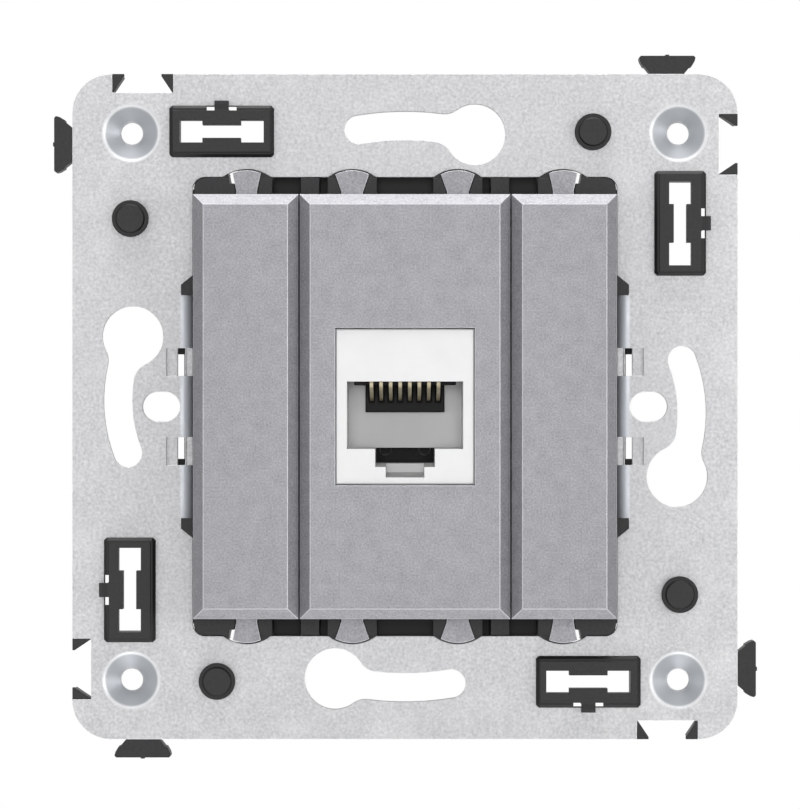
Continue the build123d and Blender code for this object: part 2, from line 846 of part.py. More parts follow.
def jack_housing():
    half_width = jack_face_width / 2
    half_height = jack_face_height / 2
    solid = block(-half_width, half_width, jack_front, jack_body_end, -half_height, half_height)
    front_edges = solid.edges().group_by(Axis.Y)[0]
    solid = chamfer(front_edges, jack_edge_chamfer)
    solid -= block(-port_width / 2, port_width / 2, jack_front - 1, port_end, port_bottom, port_top)
    latch_bottom = port_bottom - latch_height
    latch_back = port_end + port_back_wall + overrun
    latch_half = latch_width / 2
    solid -= block(-latch_half, latch_half, jack_front - overrun, latch_back, latch_bottom, port_bottom)
    ledge_bottom = latch_bottom - latch_ledge
    ledge_end = jack_front + latch_ledge_depth
    ledge = profile_x(
        [
            (jack_front - tool_bite, latch_bottom + tool_bite),
            (jack_front - tool_bite, ledge_bottom),
            (ledge_end, ledge_bottom),
            (ledge_end + latch_ledge_ramp, latch_bottom),
            (ledge_end + latch_ledge_ramp, latch_bottom + tool_bite),
        ],
        -latch_half,
        latch_half,
    )
    key = profile_x(
        [
            (jack_front - tool_bite, key_top + tool_bite),
            (jack_front - tool_bite, key_bottom),
            (jack_front + key_ramp_start, key_bottom),
            (jack_front + key_depth, key_ramp_top),
            (jack_front + key_depth, key_top + tool_bite),
        ],
        -key_width / 2,
        key_width / 2,
    )
    solid = solid - ledge - key
    rear_half = half_width - jack_rear_wall
    past_rear = jack_body_end + overrun
    rear_front = port_end + port_back_wall
    rear_foot = -half_height + jack_rear_wall
    rear_top = half_height - 3 * jack_rear_wall
    solid -= block(-rear_half, rear_half, rear_front, past_rear, rear_foot, rear_top)
    channel_top = hairpin_z + hairpin_outer + lead_channel_play
    channel_half = comb_width / 2
    channel_front = hairpin_y - hairpin_outer - channel_front_play
    solid -= block(-channel_half, channel_half, channel_front, past_rear, port_top, channel_top)
    window_half = comb_width / 2 + comb_window_play
    window_foot = comb_bottom - comb_window_play
    solid -= block(-window_half, window_half, port_end - overrun, rear_front + overrun, window_foot, port_top)
    arm_half = snap_arm_width / 2
    arm_bottom = half_height - snap_arm_thickness
    slot_half = arm_half + snap_arm_side_gap
    slot_front = jack_front + snap_arm_face_wall
    slot_foot = arm_bottom - snap_arm_gap
    solid -= block(-slot_half, slot_half, slot_front, snap_arm_root, slot_foot, half_height + overrun)
    arm = block(-arm_half, arm_half, snap_arm_front, snap_arm_root + overrun, arm_bottom, half_height)
    tooth = profile_x(
        [
            (snap_tooth_front, half_height - tool_bite),
            (snap_tooth_front, half_height + snap_tooth_height),
            (snap_tooth_front + snap_tooth_land, half_height + snap_tooth_height),
            (snap_tooth_front + snap_tooth_length, half_height),
            (snap_tooth_front + snap_tooth_length, half_height - tool_bite),
        ],
        -arm_half,
        arm_half,
    )
    return joined([solid, arm, tooth, upside_down(tooth)])


def contact_places():
    return [(n - (contact_count - 1) / 2) * contact_pitch for n in range(contact_count)]


def contact_carrier():
    """Roof under the leads, comb round the contact tips and the wall that closes the housing's rear."""
    roof = block(-roof_width / 2, roof_width / 2, hairpin_y, comb_front, roof_bottom, port_top)
    nose_outline = Pos(hairpin_y, hairpin_z) * RegularPolygon(roof_thickness / 2, 8, rotation=22.5)
    nose = extrude(Plane.YZ.offset(-roof_width / 2) * nose_outline, roof_width)
    end = jack_body_end - carrier_end_play
    comb = block(-comb_width / 2, comb_width / 2, comb_front, end, comb_bottom, port_top)
    back_half = jack_face_width / 2 - jack_rear_wall - carrier_side_play
    back_low = -jack_face_height / 2 + jack_rear_wall + carrier_side_play
    back = block(-back_half, back_half, end - carrier_back_thickness, end, back_low, port_top)
    solid = joined([roof, nose, comb, back])
    for x in contact_places():
        half = comb_slot_width / 2
        solid -= block(x - half, x + half, comb_front - overrun, comb_slot_end, comb_slot_bottom, roof_bottom)
    return solid


def contact_spring(x):
    """Moving arm of one contact, with the hairpin that it swings about."""
    half = contact_width / 2
    middle = (hairpin_inner + hairpin_outer) / 2
    run = contact_tip_y - hairpin_y
    drop = hairpin_z - middle - contact_tip_z
    slope = math.degrees(math.atan2(drop, run))
    lean = Rot(0, 0, -slope)
    inside = lean * RegularPolygon(hairpin_inner, 8, major_radius=False, rotation=22.5)
    upper = area(-hairpin_outer, 0, 0, hairpin_outer)
    lower = lean * area(-hairpin_outer, 0, -hairpin_outer, 0)
    bend = (Circle(hairpin_outer) - inside) & (upper + lower)
    arm = lean * area(0, math.hypot(run, drop), -hairpin_outer, -hairpin_inner)
    outline = Pos(hairpin_y, hairpin_z) * (bend + arm)
    return extrude(Plane.YZ.offset(x - half) * outline, contact_width)


def contact_leads():
    """Fixed ends of the contacts, in the channel above the carrier's roof."""
    half = contact_width / 2
    low = hairpin_z + hairpin_inner
    high = hairpin_z + hairpin_outer
    front = hairpin_y + lead_gap
    return Compound([block(x - half, x + half, front, lead_end, low, high) for x in contact_places()])


# Board, terminals and caps

def terminal_levels():
    return [(n - 1.5) * terminal_pitch for n in range(4)]


def jack_board():
    half_width = board_width / 2
    half_height = board_height / 2
    return block(-half_width, half_width, board_front, board_back, -half_height, half_height)


def blade_seat(x, z):
    """Pocket for one blade."""
    half_x = blade_thickness / 2 + blade_play
    half_z = blade_width / 2 + blade_play
    top = terminal_top - blade_drop + blade_play
    return block(x - half_x, x + half_x, board_front, top, z - half_z, z + half_z)


def terminal_row():
    """Row of towers on the right, with wire slots and blade seats."""
    half = terminal_row_width / 2
    row_half = 1.5 * terminal_pitch + terminal_row_margin
    row = block(-half, half, board_back, terminal_top, -row_half, row_half)
    slot_floor = terminal_top - wire_slot_depth
    for z in terminal_levels():
        low = z - wire_slot_width / 2
        high = z + wire_slot_width / 2
        flare = profile_x(
            [
                (slot_floor, low),
                (terminal_top - wire_slot_flare, low),
                (terminal_top, low - wire_slot_flare / 2),
                (terminal_top, high + wire_slot_flare / 2),
                (terminal_top - wire_slot_flare, high),
                (slot_floor, high),
            ],
            -half - overrun,
            half + overrun,
        )
        row -= flare
        row -= blade_seat(0, z)
    return Pos(terminal_row_offset, 0, 0) * row


def terminal_block():
    half_width = board_width / 2
    half_height = board_height / 2
    base = block(-half_width, half_width, board_back, terminal_foot, -half_height, half_height)
    for side in [-1, 1]:
        for z in terminal_levels():
            base -= blade_seat(side * terminal_row_offset, z)
    row = terminal_row()
    return joined([base, row, mirrored(row)])


def terminal_blade(x, z):
    """Forked blade of one terminal."""
    top = terminal_top - blade_drop
    half = blade_width / 2
    blade = block(x - blade_thickness / 2, x + blade_thickness / 2, board_back, top, z - half, z + half)
    fork_half = blade_fork / 2
    fork_foot = top - blade_fork_depth
    fork = block(x - blade_thickness, x + blade_thickness, fork_foot, top, z - fork_half, z + fork_half)
    return blade - fork


def wire_cap():
    """Cap over the right row of towers."""
    inner_x = terminal_row_width / 2 + cap_play
    inner_z = 1.5 * terminal_pitch + terminal_row_margin + cap_play
    outer_x = inner_x + cap_wall
    outer_z = inner_z + cap_wall
    roof_front = terminal_top + cap_roof_gap
    skirt_front = roof_front - cap_skirt
    cap = block(-outer_x, outer_x, skirt_front, roof_front + cap_roof, -outer_z, outer_z)
    cap -= block(-inner_x, inner_x, skirt_front, roof_front, -inner_z, inner_z)
    notch_half = cap_notch_width / 2
    notch_end = skirt_front + cap_notch_height
    for z in terminal_levels():
        cap -= block(-outer_x, outer_x, skirt_front, notch_end, z - notch_half, z + notch_half)
    return Pos(terminal_row_offset, 0, 0) * cap


# Writing

write(support_frame(), "support_frame")

coupler = corner_coupler()
catch = Pos(-catch_along, 0, catch_out) * frame_catch()
for turn in range(4):
    quarter = Rot(0, 90 * turn, 0)
    write(quarter * coupler, "corner_coupler_" + str(turn + 1))
    write(quarter * catch, "frame_catch_" + str(turn + 1))

right_carrier = blank_carrier()
right_cover = blank_cover()
write(right_carrier, "blank_carrier_right")
write(mirrored(right_carrier), "blank_carrier_left")
write(right_cover, "blank_cover_right")
write(mirrored(right_cover), "blank_cover_left")
write(module_body(), "module_body")
write(module_cover(), "module_cover")

write(jack_housing(), "jack_housing")
write(contact_carrier(), "contact_carrier")
write(contact_leads(), "contact_leads")
for number, x in enumerate(contact_places()):
    write(contact_spring(x), "contact_spring_" + str(number + 1))
write(jack_board(), "jack_board")
write(terminal_block(), "terminal_block")
blade_number = 0
for side in [-1, 1]:
    for z in terminal_levels():
        blade_number += 1
        write(terminal_blade(side * terminal_row_offset, z), "terminal_blade_" + str(blade_number))
right_cap = wire_cap()
write(right_cap, "wire_cap_right")
write(mirrored(right_cap), "wire_cap_left")
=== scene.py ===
import json
import math

import bpy
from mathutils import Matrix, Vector


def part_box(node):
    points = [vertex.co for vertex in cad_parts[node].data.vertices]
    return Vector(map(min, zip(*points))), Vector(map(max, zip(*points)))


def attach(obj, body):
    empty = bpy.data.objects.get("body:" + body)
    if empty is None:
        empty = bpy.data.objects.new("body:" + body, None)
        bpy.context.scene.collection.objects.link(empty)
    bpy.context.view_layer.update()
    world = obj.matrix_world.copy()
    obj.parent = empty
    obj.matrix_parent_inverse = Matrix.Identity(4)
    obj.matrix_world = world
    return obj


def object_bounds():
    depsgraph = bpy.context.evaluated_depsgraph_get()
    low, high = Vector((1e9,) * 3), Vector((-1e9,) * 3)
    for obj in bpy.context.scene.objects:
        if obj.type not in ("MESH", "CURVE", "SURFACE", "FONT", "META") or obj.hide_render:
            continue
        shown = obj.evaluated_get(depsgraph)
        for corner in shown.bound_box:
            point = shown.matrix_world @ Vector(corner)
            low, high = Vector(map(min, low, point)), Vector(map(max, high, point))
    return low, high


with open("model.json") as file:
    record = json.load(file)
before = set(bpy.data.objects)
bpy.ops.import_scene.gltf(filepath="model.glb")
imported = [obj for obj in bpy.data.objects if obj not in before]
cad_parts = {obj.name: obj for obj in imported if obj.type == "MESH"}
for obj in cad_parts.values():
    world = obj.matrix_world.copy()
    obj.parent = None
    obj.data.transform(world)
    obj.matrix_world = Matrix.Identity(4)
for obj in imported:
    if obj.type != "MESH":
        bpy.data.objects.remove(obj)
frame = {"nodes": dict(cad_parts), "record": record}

low_corner, high_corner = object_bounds()

MM = 0.001

# The photograph's frame, with the plate's centre a little right of and below its middle.
# From further away the camera would see the background through the seams beside the covers.
IMAGE_LONG_SIDE = 809
PIXELS_PER_MM = 9.37
PLATE_CENTRE_RIGHT_PX = 5.0
PLATE_CENTRE_DOWN_PX = 2.1
CAMERA_DISTANCE_MM = 480.0
SENSOR_MM = 36.0

# Places on the part that its finishes and small pieces follow. Across, up and out are measured from
# the part's centre lines, and a front or back is a depth along Y, smaller nearer to the front.

# Screw dishes and claw holes of the steel plate.
DISH_OFFSET_MM = 29.2
DISH_RADIUS_MM = 3.1
# Painted shade fills each dish and fades out over this width towards the dish's edge.
DISH_SHADE_FADE_MM = 0.5
# Painted highlight ring round each dish, at this radius and half width.
DISH_RIM_RADIUS_MM = 2.92
DISH_RIM_HALF_WIDTH_MM = 0.22
CLAW_HOLE_OFFSET_MM = 26.0
CLAW_HOLE_REACH_MM = 2.4

# Edge radii of the plate, and the widths over which the larger ones fade to the punched one.
PUNCHED_EDGE_MM = 0.12
DISH_EDGE_MM = 0.42
DISH_EDGE_FADE_MM = 0.6
CLAW_HOLE_EDGE_MM = 0.22
CLAW_HOLE_EDGE_FADE_MM = 0.3

# Bends of the plate's two side lips, with the claws' bearings in them, and the painted light over
# the bends' shade.
LIP_BEND_MM = 24.1
LIP_BEND_FADE_MM = 0.5
LIP_HALF_LENGTH_MM = 12.1
LIP_SHINE_BACK_MM = 0.3
LIP_SHINE_FRONT_MM = -0.2
BEARING_UP_MM = 4.76
BEARING_HALF_LENGTH_MM = 1.5

# Slanted outer edges, rims of the catches' panels and deep pockets of the black mouldings, where
# shade is painted.
SLANT_OUT_MM = 25.9
SLANT_FRONT_MM = -1.78
SLANT_BACK_MM = -1.05
CATCH_OUT_MM = 29.4
CATCH_SIDE_MM = 19.6
PANEL_HALF_LENGTH_MM = 5.13
PANEL_HALF_WIDTH_MM = 2.29
PANEL_RIM_MM = 0.6
POCKET_BACK_MM = 3.9

# Crowns on the stakes through the plate.
STAKE_ACROSS_MM = -29.3
STAKE_UP_MM = 20.05
STAKE_HEAD_FRONT_MM = -1.75
CROWN_FOOT_RADIUS_MM = 1.56
CROWN_TOP_RADIUS_MM = 1.42
CROWN_HEIGHT_MM = 0.16

# Mould marks on the black wall behind the latch channel, light grey as a painted sheen.
CARRIER_WALL_FRONT_MM = 6.2
RING_UP_MM = -4.62
RING_SPACING_MM = 4.2
RING_RADIUS_MM = 0.6
RING_LINE_RADIUS_MM = 0.08

# A surface faces the front where its normal's Y lies below this.
FACES_FRONT = -0.9

# Samples that the renderer takes to round an edge.
EDGE_SAMPLES = 6

# Share of the grain in the zinc's clouds, and of the drift in the paint's flakes.
GRAIN_SHARE = 0.5
DRIFT_SHARE = 0.2

# Studio, in metres and watts: name, place, width, height and power of each lamp.
AMBIENT_STRENGTH = 0.2
FLOOR_BELOW_PART = 0.3
FLOOR_REACH = 3.1
FLOOR_WHITE_SHARE = 0.85
LAMP_AIM = Vector((0.0, 0.0, 0.0))
SOFT_LAMPS = [
    ("top_softbox", (0.0, -0.06, 0.5), 0.4, 0.2, 2.5),
    ("front_softbox", (0.0, -1.0, 0.03), 0.2, 0.2, 1.78),
    ("low_softbox", (0.0, -0.08, -0.31), 0.2, 0.1, 0.32),
    ("right_softbox", (0.45, -0.36, 0.0), 0.3, 0.2, 1.05),
    ("left_softbox", (-0.4, -0.4, 0.0), 0.3, 0.2, 0.48),
]

nodes = frame["nodes"]


# Helpers

def hex_colour(text):
    """Linear colour of an sRGB hex value."""
    channels = [int(text[i:i + 2], 16) / 255 for i in (1, 3, 5)]
    linear = [c / 12.92 if c <= 0.04045 else ((c + 0.055) / 1.055) ** 2.4 for c in channels]
    return (*linear, 1.0)


def add(tree, kind, settings=None, **links):
    """Adds one shader or geometry node, with its properties, its input values and its links."""
    node = tree.nodes.new(kind)
    for name, value in (settings or {}).items():
        if isinstance(name, int) or name in node.inputs:
            node.inputs[name].default_value = value
        else:
            setattr(node, name, value)
    for name, source in links.items():
        key = int(name[1:]) if name[0] == "i" and name[1:].isdigit() else name.replace("_", " ")
        tree.links.new(source, node.inputs[key])
    return node


def empty_tree(owner):
    """Node tree of a material or a world, with nothing in it yet."""
    owner.use_nodes = True
    owner.node_tree.nodes.clear()
    return owner.node_tree


def new_object(name, data):
    """Object of the scene that holds a mesh, a lamp or a camera."""
    item = bpy.data.objects.new(name, data)
    bpy.context.scene.collection.objects.link(item)
    return item


# Parts of the finishes

def new_material(name, settings):
    """Material of one shader with constant values, and the place on the part for its patterns."""
    material = bpy.data.materials.new(name)
    tree = empty_tree(material)
    shader = add(tree, "ShaderNodeBsdfPrincipled", settings)
    add(tree, "ShaderNodeOutputMaterial", Surface=shader.outputs["BSDF"])
    place = add(tree, "ShaderNodeTexCoord").outputs["Object"]
    return material, tree, shader, place


def blotches(tree, place, period_mm, detail, low, high, rough=0.5):
    """Noise with a feature size in millimetres, its values from low to high spread to 0 and 1."""
    noise = add(
        tree, "ShaderNodeTexNoise",
        {"Scale": 1 / (period_mm * MM), "Detail": detail, "Roughness": rough}, Vector=place,
    )
    spread = add(
        tree, "ShaderNodeMapRange", {"From Min": low, "From Max": high}, Value=noise.outputs["Fac"]
    )
    return spread.outputs["Result"]


def coat(tree, shader, base, *layers):
    """Base colour: a hex colour with others laid over it one by one, each by its own share."""
    under = None
    for share, tint in layers:
        colours = {"data_type": "RGBA", 6: hex_colour(base), 7: hex_colour(tint)}
        mix = add(tree, "ShaderNodeMix", colours, i0=share)
        if under is not None:
            tree.links.new(under, mix.inputs[6])
        under = mix.outputs[2]
    tree.links.new(under, shader.inputs["Base Color"])


def soft_edges(tree, shader, radius, height=None, strength=0.0, depth_mm=0.0):
    """Rounds the look of sharp edges by a radius, given in millimetres or by a node.

    A height lays a bump on top. The rounded normal without the bump is returned.
    """
    edge = add(tree, "ShaderNodeBevel", {"samples": EDGE_SAMPLES})
    if isinstance(radius, float):
        edge.inputs["Radius"].default_value = radius * MM
    else:
        tree.links.new(radius, edge.inputs["Radius"])
    rounded = normal = edge.outputs["Normal"]
    if height is not None:
        bump = add(
            tree, "ShaderNodeBump", {"Strength": strength, "Distance": depth_mm * MM},
            Height=height, Normal=rounded,
        )
        normal = bump.outputs["Normal"]
    tree.links.new(normal, shader.inputs["Normal"])
    return rounded


def edge_highlight_share(tree, rounded, full, start, end):
    """Share of the painted edge highlight, up to full, where the rounded normal leaves the flat."""
    flat = add(tree, "ShaderNodeNewGeometry").outputs["True Normal"]
    match = add(tree, "ShaderNodeVectorMath", {"operation": "DOT_PRODUCT"}, i0=rounded, i1=flat)
    share = add(
        tree, "ShaderNodeMapRange", {"From Min": start, "From Max": end, "To Max": full},
        Value=match.outputs["Value"],
    )
    return share.outputs["Result"]


def across_depth_up(tree, place):
    """Distance from the upright centre line, depth, and distance from the level centre line."""
    fold = add(tree, "ShaderNodeVectorMath", {"operation": "ABSOLUTE"}, i0=place)
    away = add(tree, "ShaderNodeSeparateXYZ", Vector=fold.outputs["Vector"]).outputs
    depth = add(tree, "ShaderNodeSeparateXYZ", Vector=place).outputs["Y"]
    return away["X"], depth, away["Z"]


def flat_distance(tree, place, across_mm, up_mm):
    """Distance in metres, in the front view, from the mirrored places of a feature of the plate."""
    fold = add(tree, "ShaderNodeVectorMath", {"operation": "ABSOLUTE"}, i0=place)
    flat = add(
        tree, "ShaderNodeVectorMath", {"operation": "MULTIPLY", 1: (1.0, 0.0, 1.0)},
        i0=fold.outputs["Vector"],
    )
    centre = (across_mm * MM, 0.0, up_mm * MM)
    away = add(
        tree, "ShaderNodeVectorMath", {"operation": "DISTANCE", 1: centre},
        i0=flat.outputs["Vector"],
    )
    return away.outputs["Value"]


def off_centre(tree, value, centre_mm, half_mm=0.0):
    """How far a value lies beyond a half size round a centre, in metres."""
    moved = add(tree, "ShaderNodeMath", {"operation": "SUBTRACT", 1: centre_mm * MM}, i0=value)
    away = add(tree, "ShaderNodeMath", {"operation": "ABSOLUTE"}, i0=moved.outputs[0])
    past = add(
        tree, "ShaderNodeMath", {"operation": "SUBTRACT", 1: half_mm * MM}, i0=away.outputs[0]
    )
    return past.outputs[0]


def where(tree, *tests):
    """Share that is 1 where every test holds: a value, LESS_THAN or GREATER_THAN, and its limit."""
    share = None
    for value, kind, limit in tests:
        held = add(tree, "ShaderNodeMath", {"operation": kind, 1: limit}, i0=value).outputs[0]
        if share is not None:
            held = add(
                tree, "ShaderNodeMath", {"operation": "MULTIPLY"}, i0=share, i1=held
            ).outputs[0]
        share = held
    return share


# Finishes

def pressed_edge_radius(tree, off_dish, off_claw_hole):
    """Edge radius in metres: large at the formed dishes and claw holes, small at punched edges."""
    radii = []
    for distance, reach_mm, fade_mm, edge_mm in (
        (off_dish, DISH_RADIUS_MM, DISH_EDGE_FADE_MM, DISH_EDGE_MM),
        (off_claw_hole, CLAW_HOLE_REACH_MM, CLAW_HOLE_EDGE_FADE_MM, CLAW_HOLE_EDGE_MM),
    ):
        radius = add(
            tree, "ShaderNodeMapRange",
            {
                "From Min": reach_mm * MM, "From Max": (reach_mm + fade_mm) * MM,
                "To Min": edge_mm * MM, "To Max": PUNCHED_EDGE_MM * MM,
            },
            Value=distance,
        )
        radii.append(radius.outputs["Result"])
    larger = add(tree, "ShaderNodeMath", {"operation": "MAXIMUM"}, i0=radii[0], i1=radii[1])
    return larger.outputs[0]


def bend_painted_light_share(tree, place):
    """Share of the painted light along the side lips' bends, a pale bluish band over their shade,
    but not in the bearings.
    """
    across, depth, up = across_depth_up(tree, place)
    near_bend = add(
        tree, "ShaderNodeMapRange",
        {"From Min": LIP_BEND_MM * MM, "From Max": (LIP_BEND_MM - LIP_BEND_FADE_MM) * MM},
        Value=across,
    )
    near_front = add(
        tree, "ShaderNodeMapRange",
        {"From Min": LIP_SHINE_BACK_MM * MM, "From Max": LIP_SHINE_FRONT_MM * MM}, Value=depth,
    )
    off_bearing = off_centre(tree, up, BEARING_UP_MM, BEARING_HALF_LENGTH_MM)
    along = where(
        tree, (up, "LESS_THAN", LIP_HALF_LENGTH_MM * MM), (off_bearing, "GREATER_THAN", 0.0)
    )
    bend = add(
        tree, "ShaderNodeMath", {"operation": "MULTIPLY"},
        i0=near_bend.outputs["Result"], i1=near_front.outputs["Result"],
    )
    share = add(tree, "ShaderNodeMath", {"operation": "MULTIPLY"}, i0=bend.outputs[0], i1=along)
    return share.outputs[0]


def galvanised_steel():
    """Hot-dip galvanised sheet, punched after coating: pale zinc with soft clouds and grain."""
    material, tree, shader, place = new_material("galvanised_sheet_steel", {"Metallic": 0.3})
    clouds = blotches(tree, place, period_mm=4.2, detail=5.0, low=0.34, high=0.66, rough=0.62)
    # The zinc's own grain is under 0.1 mm, and is drawn as coarse as it needs to show.
    grain = blotches(tree, place, period_mm=0.32, detail=3.0, low=0.28, high=0.72, rough=0.6)
    zinc = add(
        tree, "ShaderNodeMix", {"data_type": "FLOAT", 0: GRAIN_SHARE}, i2=clouds, i3=grain
    )
    off_dish = flat_distance(tree, place, DISH_OFFSET_MM, DISH_OFFSET_MM)
    off_claw_hole = flat_distance(tree, place, CLAW_HOLE_OFFSET_MM, 0.0)
    # Painted shade inside the screw dishes: a flat darker bluish grey.
    dish_painted_shade = add(
        tree, "ShaderNodeMapRange",
        {"From Min": DISH_RADIUS_MM * MM, "From Max": (DISH_RADIUS_MM - DISH_SHADE_FADE_MM) * MM},
        Value=off_dish,
    )
    # Painted highlight: a near-white ring along the dishes' rims.
    dish_rim_highlight = add(
        tree, "ShaderNodeMapRange",
        {"From Min": DISH_RIM_HALF_WIDTH_MM * MM, "From Max": 0.0, "To Max": 0.85},
        Value=off_centre(tree, off_dish, DISH_RIM_RADIUS_MM),
    )
    polish = add(tree, "ShaderNodeMapRange", {"To Min": 0.36, "To Max": 0.55}, Value=clouds)
    tree.links.new(polish.outputs["Result"], shader.inputs["Roughness"])
    edge_radius = pressed_edge_radius(tree, off_dish, off_claw_hole)
    rounded = soft_edges(tree, shader, edge_radius, height=grain, strength=0.1, depth_mm=0.02)
    coat(
        tree, shader, "#929295",
        (zinc.outputs[0], "#dbdbdc"),
        # Painted light: a pale bluish band that brightens the shaded lip bends.
        (bend_painted_light_share(tree, place), "#e6eaf1"),
        (dish_painted_shade.outputs["Result"], "#a6a9ae"),
        (dish_rim_highlight.outputs["Result"], "#f4f5f7"),
        # Painted highlight along the plate's rounded edges.
        (edge_highlight_share(tree, rounded, full=0.85, start=0.997, end=0.93), "#f2f3f5"),
    )
    return material


def grey_paint():
    """ABS cover sprayed with aluminium-flake paint: satin grey with a pale and dark speckle."""
    material, tree, shader, place = new_material(
        "aluminium_flake_paint_on_abs", {"Metallic": 0.3, "Roughness": 0.42}
    )
    # Real flakes are some hundredths of a millimetre, and are drawn as coarse as they need to show.
    flakes = blotches(tree, place, period_mm=0.2, detail=2.0, low=0.25, high=0.75, rough=0.7)
    drift = blotches(tree, place, period_mm=1.2, detail=3.0, low=0.3, high=0.7)
    speckle = add(
        tree, "ShaderNodeMix", {"data_type": "FLOAT", 0: DRIFT_SHARE}, i2=flakes, i3=drift
    )
    rounded = soft_edges(tree, shader, 0.13, height=flakes, strength=0.15, depth_mm=0.01)
    coat(
        tree, shader, "#6f6f74",
        (speckle.outputs[0], "#9f9fa3"),
        # Painted highlight along the covers' rounded edges.
        (edge_highlight_share(tree, rounded, full=0.9, start=0.9995, end=0.97), "#dedee3"),
    )
    return material


def pocket_and_rim_shade_share(tree, place):
    """Share of the painted shade: slanted edges, rims of the catches' panels, pocket floors."""
    across, depth, up = across_depth_up(tree, place)
    out = add(tree, "ShaderNodeMath", {"operation": "MAXIMUM"}, i0=across, i1=up).outputs[0]
    side = add(tree, "ShaderNodeMath", {"operation": "MINIMUM"}, i0=across, i1=up).outputs[0]
    slanted = where(
        tree, (depth, "LESS_THAN", SLANT_BACK_MM * MM),
        (depth, "GREATER_THAN", SLANT_FRONT_MM * MM), (out, "GREATER_THAN", SLANT_OUT_MM * MM),
    )
    off_panel = add(
        tree, "ShaderNodeMath", {"operation": "MAXIMUM"},
        i0=off_centre(tree, side, CATCH_SIDE_MM, PANEL_HALF_LENGTH_MM),
        i1=off_centre(tree, out, CATCH_OUT_MM, PANEL_HALF_WIDTH_MM),
    ).outputs[0]
    panel_rim = where(
        tree, (off_panel, "GREATER_THAN", 0.0), (off_panel, "LESS_THAN", PANEL_RIM_MM * MM),
        (depth, "LESS_THAN", SLANT_BACK_MM * MM),
    )
    normal = add(tree, "ShaderNodeTexCoord").outputs["Normal"]
    facing = add(tree, "ShaderNodeSeparateXYZ", Vector=normal).outputs["Y"]
    pocket = where(
        tree, (facing, "LESS_THAN", FACES_FRONT), (depth, "GREATER_THAN", POCKET_BACK_MM * MM)
    )
    raised = add(tree, "ShaderNodeMath", {"operation": "MAXIMUM"}, i0=slanted, i1=panel_rim)
    share = add(tree, "ShaderNodeMath", {"operation": "MAXIMUM"}, i0=raised.outputs[0], i1=pocket)
    return share.outputs[0]


def black_moulding(name, dark, light, roughness):
    """Glass-filled nylon or polycarbonate, spark-eroded mould: fine dull grain, with painted shade
    on slanted edges, panel rims and pocket floors.
    """
    material, tree, shader, place = new_material(
        name, {"Roughness": roughness, "Specular IOR Level": 0.35}
    )
    # The spark-eroded pits are under 0.05 mm, and are drawn as coarse as they need to show.
    grain = blotches(tree, place, period_mm=0.3, detail=2.0, low=0.3, high=0.7)
    # Painted shade, nearly black, on the slanted edges, the panel rims and the deep pocket floors.
    coat(tree, shader, dark, (grain, light), (pocket_and_rim_shade_share(tree, place), "#070707"))
    soft_edges(tree, shader, 0.12, height=grain, strength=0.12, depth_mm=0.01)
    return material


def white_moulding():
    """Polycarbonate moulded in a fine-polished tool: clean white with a soft gloss."""
    material, tree, shader, place = new_material("white_polycarbonate", {"Roughness": 0.32})
    drift = blotches(tree, place, period_mm=4.0, detail=3.0, low=0.3, high=0.7)
    coat(tree, shader, "#e2e2e3", (drift, "#e7e7e7"))
    soft_edges(tree, shader, 0.08)
    return material


def contact_gold():
    """Phosphor bronze wire with thin gold over nickel: pale warm metal with faint drawing marks."""
    material, tree, shader, place = new_material(
        "gold_plated_bronze", {"Metallic": 0.2, "Roughness": 0.42}
    )
    # The marks are some hundredths of a millimetre, and are drawn as coarse as they need to show.
    marks = blotches(tree, place, period_mm=0.4, detail=2.0, low=0.3, high=0.7)
    coat(tree, shader, "#d9ccab", (marks, "#e8ddbf"))
    soft_edges(tree, shader, 0.04)
    return material


def tinned_bronze():
    """Stamped phosphor bronze with bright tin: pale grey metal, slightly patchy from stamping."""
    material, tree, shader, place = new_material(
        "tinned_phosphor_bronze", {"Metallic": 1.0, "Roughness": 0.3}
    )
    patches = blotches(tree, place, period_mm=0.6, detail=2.0, low=0.3, high=0.7)
    coat(tree, shader, "#c3c2bd", (patches, "#dedcd6"))
    soft_edges(tree, shader, 0.04)
    return material


def circuit_board():
    """Glass epoxy laminate under green solder mask: glossy green with a faint weave."""
    material, tree, shader, place = new_material("solder_masked_laminate", {"Roughness": 0.25})
    # The bands of a wave pattern lie 0.31 of its size apart, here 0.38 mm, as the glass threads do.
    weave = add(
        tree, "ShaderNodeTexWave", {"Scale": 1 / (1.2 * MM), "Distortion": 0.6}, Vector=place
    )
    coat(tree, shader, "#0f4a2c", (weave.outputs["Fac"], "#145a36"))
    soft_edges(tree, shader, 0.05)
    return material


finishes = {
    "galvanised_steel": galvanised_steel(),
    "grey_painted_plastic": grey_paint(),
    "black_plastic": black_moulding("black_glass_filled_nylon", "#151516", "#202021", 0.5),
    "black_jack_plastic": black_moulding("black_terminal_polycarbonate", "#040404", "#090909", 0.6),
    "white_plastic": white_moulding(),
    "gold_contact": contact_gold(),
    "tinned_bronze": tinned_bronze(),
    "green_board": circuit_board(),
}

node_slots = {part["node"]: part["material_slot"] for part in frame["record"]["subparts"]}
for name, piece in nodes.items():
    for holder in piece.material_slots:
        holder.material = finishes[node_slots[name]]


# Small moulded forms that repeat

def geometry_tree(name, sizes):
    """Geometry tree with a named input for each size, in metres or radians, and the material."""
    tree = bpy.data.node_groups.new(name, "GeometryNodeTree")
    for size in sizes:
        tree.interface.new_socket(name=size, in_out="INPUT", socket_type="NodeSocketFloat")
    tree.interface.new_socket(name="Material", in_out="INPUT", socket_type="NodeSocketMaterial")
    tree.interface.new_socket(name="Geometry", in_out="OUTPUT", socket_type="NodeSocketGeometry")
    given = add(tree, "NodeGroupInput").outputs
    return tree, given


